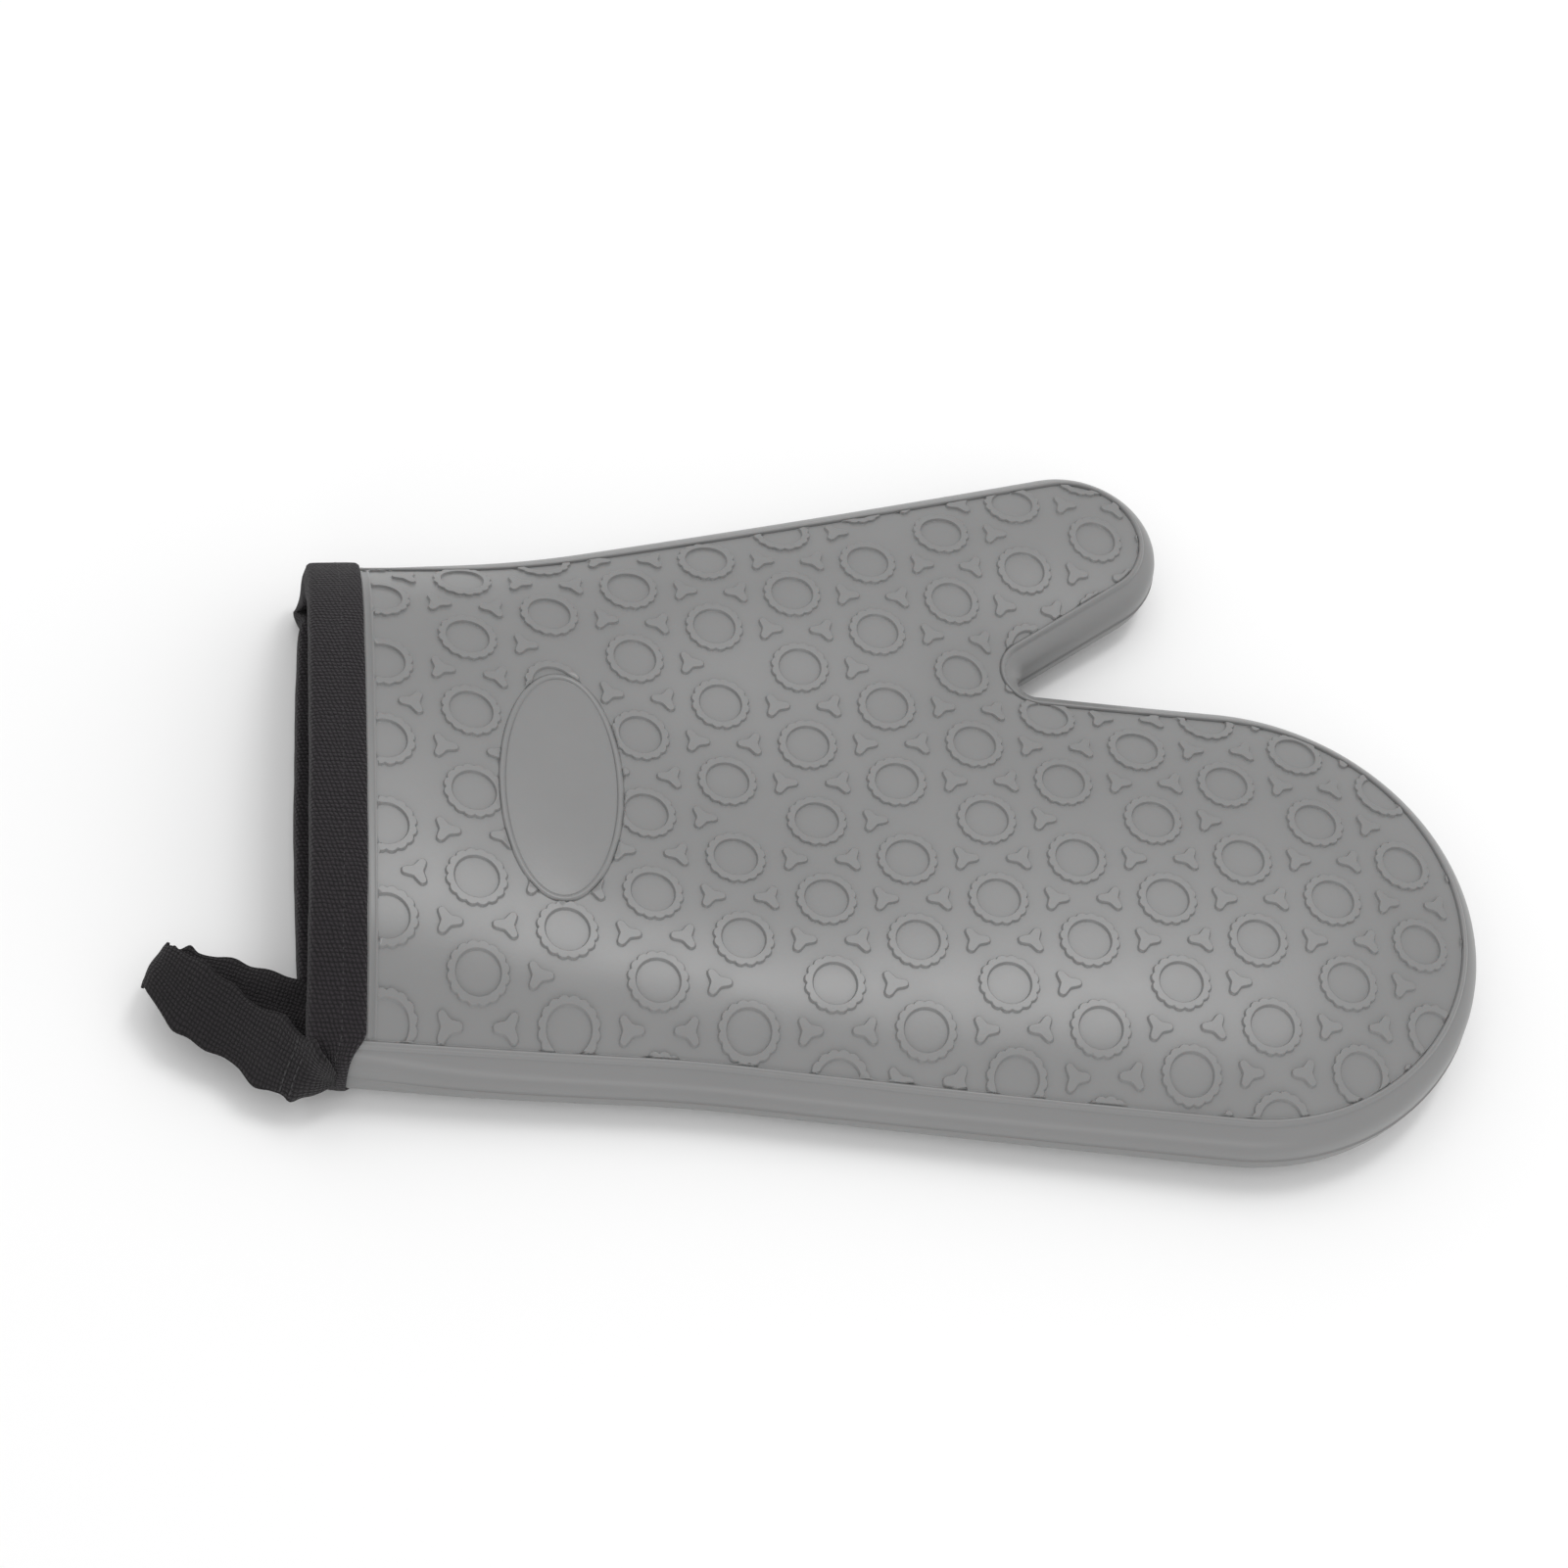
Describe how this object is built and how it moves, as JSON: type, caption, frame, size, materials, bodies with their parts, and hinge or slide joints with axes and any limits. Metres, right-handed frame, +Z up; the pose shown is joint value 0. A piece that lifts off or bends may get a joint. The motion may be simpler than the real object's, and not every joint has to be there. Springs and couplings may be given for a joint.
{
  "type": "oven mitt",
  "caption": "Grey silicone oven mitt with embossed rings, a quilted cotton lining, a black woven cuff binding and a hanging loop.",
  "frame": {"origin": "centre of the bounding box at the plane the mitt lies on", "axes": "+X from the open cuff to the fingertips, +Y to the thumb side, +Z up from the palm face to the back face"},
  "size_m": [0.3119, 0.1928, 0.0286],
  "materials": {
    "silicone": "satin moulded silicone",
    "lining_backing": "thin non-woven backing",
    "wadding": "polyester wadding",
    "lining_cotton": "plain woven cotton",
    "lining_thread": "polyester sewing thread",
    "binding_tape": "herringbone woven tape",
    "loop_tape": "herringbone woven tape",
    "binding_thread": "polyester sewing thread"
  },
  "bodies": {
    "mitt": {"silicone_shell": "silicone", "lining_palm_backing": "lining_backing", "lining_palm_wadding": "wadding", "lining_palm_cotton": "lining_cotton", "lining_back_backing": "lining_backing", "lining_back_wadding": "wadding", "lining_back_cotton": "lining_cotton", "lining_seam_thread": "lining_thread", "quilting_thread_palm": "lining_thread", "quilting_thread_back": "lining_thread", "cuff_binding": "binding_tape", "binding_stitching": "binding_thread"},
    "loop": {"hanging_loop": "loop_tape", "loop_stitching": "binding_thread"}
  },
  "joints": [
    {"name": "loop_swing", "type": "hinge", "parent": "mitt", "child": "loop", "pos_m": [-0.11829, -0.0639, 0.01], "axis": [0, 1, 0], "range_deg": [-65, 65]}
  ]
}
